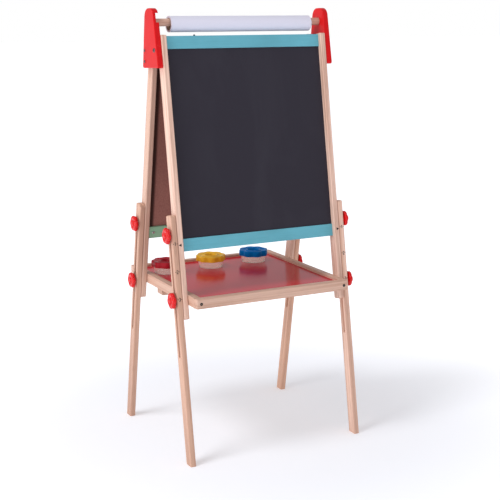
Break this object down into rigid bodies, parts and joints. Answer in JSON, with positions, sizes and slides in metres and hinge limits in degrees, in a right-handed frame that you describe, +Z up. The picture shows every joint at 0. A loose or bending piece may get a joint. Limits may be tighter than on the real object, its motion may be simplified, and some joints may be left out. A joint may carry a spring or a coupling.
{
  "type": "kids easel",
  "caption": "Two-sided standing easel for children: chalkboard and whiteboard frames, sliding legs with lobed knobs, tray, paper roll and lidded paint pots.",
  "frame": {"origin": "on the floor under the middle of the easel's box", "axes": "+Z up, +X to the right across the easel, -Y towards the chalkboard side"},
  "size_m": [0.503, 0.4328, 1.0621],
  "materials": {
    "wood": "clear satin lacquer on light beech, fine lengthwise grain",
    "green_paint": "satin green paint on wood",
    "teal_paint": "satin teal paint on wood",
    "red_paint": "satin bright red paint on wood",
    "red_plastic": "glossy red moulded plastic",
    "steel": "zinc-plated steel",
    "dark_steel": "blackened steel",
    "white_laminate": "glossy white drawing surface",
    "chalk_surface": "matt charcoal chalk surface",
    "hardboard": "brown hardboard",
    "tray_panel": "glossy crimson painted panel",
    "core_board": "plain cardboard",
    "paper": "smooth white paper",
    "clear_plastic": "translucent natural plastic",
    "red_lid": "glossy red plastic",
    "yellow_lid": "glossy yellow-orange plastic",
    "blue_lid": "glossy blue plastic"
  },
  "bodies": {
    "rear_frame": {"rear_post_left": "wood", "rear_post_right": "wood", "rear_top_rail": "green_paint", "rear_bottom_rail": "green_paint", "whiteboard": "white_laminate", "whiteboard_backing": "hardboard", "bracket_left": "red_paint", "bracket_right": "red_paint", "rear_screws": "steel", "pivot_bolts": "steel", "rear_rail_pins": "wood", "rear_insert_nuts": "steel", "rear_washers": "steel"},
    "front_frame": {"front_post_left": "wood", "front_post_right": "wood", "front_top_rail": "teal_paint", "front_bottom_rail": "teal_paint", "chalkboard": "chalk_surface", "chalkboard_backing": "hardboard", "front_rail_pins": "wood", "front_insert_nuts": "steel", "front_washers": "steel", "edge_screw": "dark_steel"},
    "tray": {"tray_floor": "tray_panel", "tray_front_rail": "wood", "tray_rear_rail": "wood", "tray_left_rail": "wood", "tray_right_rail": "wood", "tray_batten": "wood", "tray_screws": "steel", "tray_insert_nuts": "steel"},
    "dowel": {"dowel": "wood"},
    "roll": {"paper_core": "core_board", "paper_roll": "paper"},
    "leg_front_left": {"leg_front_left": "wood"},
    "knob_front_left_upper": {"knob_front_left_upper": "red_plastic", "stud_front_left_upper": "steel"},
    "knob_front_left_lower": {"knob_front_left_lower": "red_plastic", "stud_front_left_lower": "steel"},
    "leg_front_right": {"leg_front_right": "wood"},
    "knob_front_right_upper": {"knob_front_right_upper": "red_plastic", "stud_front_right_upper": "steel"},
    "knob_front_right_lower": {"knob_front_right_lower": "red_plastic", "stud_front_right_lower": "steel"},
    "leg_rear_left": {"leg_rear_left": "wood"},
    "knob_rear_left_upper": {"knob_rear_left_upper": "red_plastic", "stud_rear_left_upper": "steel"},
    "knob_rear_left_lower": {"knob_rear_left_lower": "red_plastic", "stud_rear_left_lower": "steel"},
    "leg_rear_right": {"leg_rear_right": "wood"},
    "knob_rear_right_upper": {"knob_rear_right_upper": "red_plastic", "stud_rear_right_upper": "steel"},
    "knob_rear_right_lower": {"knob_rear_right_lower": "red_plastic", "stud_rear_right_lower": "steel"},
    "cup_left": {"cup_left": "clear_plastic"},
    "lid_left": {"lid_left": "red_lid"},
    "cup_middle": {"cup_middle": "clear_plastic"},
    "lid_middle": {"lid_middle": "yellow_lid"},
    "cup_right": {"cup_right": "clear_plastic"},
    "lid_right": {"lid_right": "blue_lid"}
  },
  "joints": [
    {"name": "front_fold", "type": "hinge", "parent": "rear_frame", "child": "front_frame", "pos_m": [0, -0.03759, 0.966], "axis": [1, 0, 0], "range_deg": [0, 19]},
    {"name": "tray_fold", "type": "hinge", "parent": "rear_frame", "child": "tray", "pos_m": [0, 0.11565, 0.38542], "axis": [1, 0, 0], "range_deg": [0, 100]},
    {"name": "dowel_lift", "type": "hinge", "parent": "rear_frame", "child": "dowel", "pos_m": [0.222, -0.00809, 1.029], "axis": [0, 1, 0], "range_deg": [0, 1.5]},
    {"name": "roll_spin", "type": "hinge", "parent": "dowel", "child": "roll", "pos_m": [0.0036, -0.00809, 1.025], "axis": [1, 0, 0], "continuous": true},
    {"name": "slide_front_left", "type": "slide", "parent": "front_frame", "child": "leg_front_left", "axis": [0, 0.1685, 0.9857], "range_m": [0, 0.131]},
    {"name": "turn_front_left_upper", "type": "hinge", "parent": "front_frame", "child": "knob_front_left_upper", "pos_m": [-0.24, -0.11038, 0.54018], "axis": [1, 0, 0], "continuous": true},
    {"name": "turn_front_left_lower", "type": "hinge", "parent": "front_frame", "child": "knob_front_left_lower", "pos_m": [-0.24, -0.13616, 0.38936], "axis": [1, 0, 0], "continuous": true},
    {"name": "slide_front_right", "type": "slide", "parent": "front_frame", "child": "leg_front_right", "axis": [0, 0.1685, 0.9857], "range_m": [0, 0.131]},
    {"name": "turn_front_right_upper", "type": "hinge", "parent": "front_frame", "child": "knob_front_right_upper", "pos_m": [0.24, -0.11038, 0.54018], "axis": [1, 0, 0], "continuous": true},
    {"name": "turn_front_right_lower", "type": "hinge", "parent": "front_frame", "child": "knob_front_right_lower", "pos_m": [0.24, -0.13616, 0.38936], "axis": [1, 0, 0], "continuous": true},
    {"name": "slide_rear_left", "type": "slide", "parent": "rear_frame", "child": "leg_rear_left", "axis": [0, -0.1685, 0.9857], "range_m": [0, 0.131]},
    {"name": "turn_rear_left_upper", "type": "hinge", "parent": "rear_frame", "child": "knob_rear_left_upper", "pos_m": [-0.24, 0.08987, 0.53623], "axis": [1, 0, 0], "continuous": true},
    {"name": "turn_rear_left_lower", "type": "hinge", "parent": "rear_frame", "child": "knob_rear_left_lower", "pos_m": [-0.24, 0.11565, 0.38542], "axis": [1, 0, 0], "continuous": true},
    {"name": "slide_rear_right", "type": "slide", "parent": "rear_frame", "child": "leg_rear_right", "axis": [0, -0.1685, 0.9857], "range_m": [0, 0.131]},
    {"name": "turn_rear_right_upper", "type": "hinge", "parent": "rear_frame", "child": "knob_rear_right_upper", "pos_m": [0.24, 0.08987, 0.53623], "axis": [1, 0, 0], "continuous": true},
    {"name": "turn_rear_right_lower", "type": "hinge", "parent": "rear_frame", "child": "knob_rear_right_lower", "pos_m": [0.24, 0.11565, 0.38542], "axis": [1, 0, 0], "continuous": true},
    {"name": "lift_pot_left", "type": "slide", "parent": "tray", "child": "cup_left", "axis": [0, 0, 1], "range_m": [0, 0.03]},
    {"name": "lift_lid_left", "type": "slide", "parent": "cup_left", "child": "lid_left", "axis": [0, 0, 1], "range_m": [0, 0.02]},
    {"name": "lift_pot_middle", "type": "slide", "parent": "tray", "child": "cup_middle", "axis": [0, 0, 1], "range_m": [0, 0.03]},
    {"name": "lift_lid_middle", "type": "slide", "parent": "cup_middle", "child": "lid_middle", "axis": [0, 0, 1], "range_m": [0, 0.02]},
    {"name": "lift_pot_right", "type": "slide", "parent": "tray", "child": "cup_right", "axis": [0, 0, 1], "range_m": [0, 0.03]},
    {"name": "lift_lid_right", "type": "slide", "parent": "cup_right", "child": "lid_right", "axis": [0, 0, 1], "range_m": [0, 0.02]}
  ]
}
